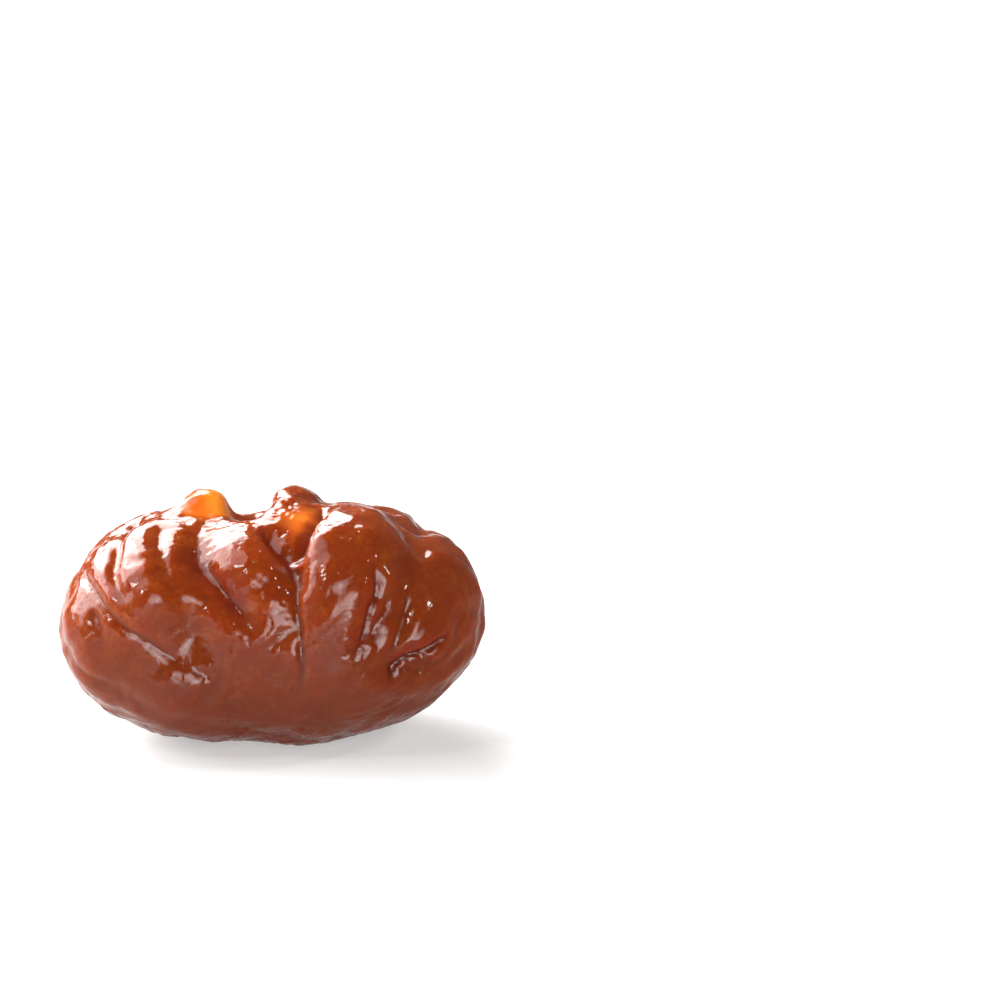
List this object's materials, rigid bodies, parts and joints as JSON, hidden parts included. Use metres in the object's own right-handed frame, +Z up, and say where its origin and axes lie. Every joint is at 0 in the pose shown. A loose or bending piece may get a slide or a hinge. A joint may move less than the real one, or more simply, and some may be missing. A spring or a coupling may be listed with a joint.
{
  "type": "candied chestnut",
  "caption": "whole peeled chestnut kernel candied in syrup, wide and rounded with lobes, a central cleft and folds, under a clear amber-brown sugar glaze",
  "frame": {"origin": "on the ground, in the middle of the nut's width and depth", "axes": "+X runs to the right along the nut's width, +Y to the back, +Z up; the cleft and its fan of folds face -Y"},
  "size_m": [0.04, 0.029, 0.0235],
  "materials": {
    "glazed_kernel": "amber-brown candied flesh, slightly translucent, under a wet-looking clear sugar glaze"
  },
  "bodies": {
    "root": {"candied_chestnut": "glazed_kernel"}
  },
  "joints": []
}
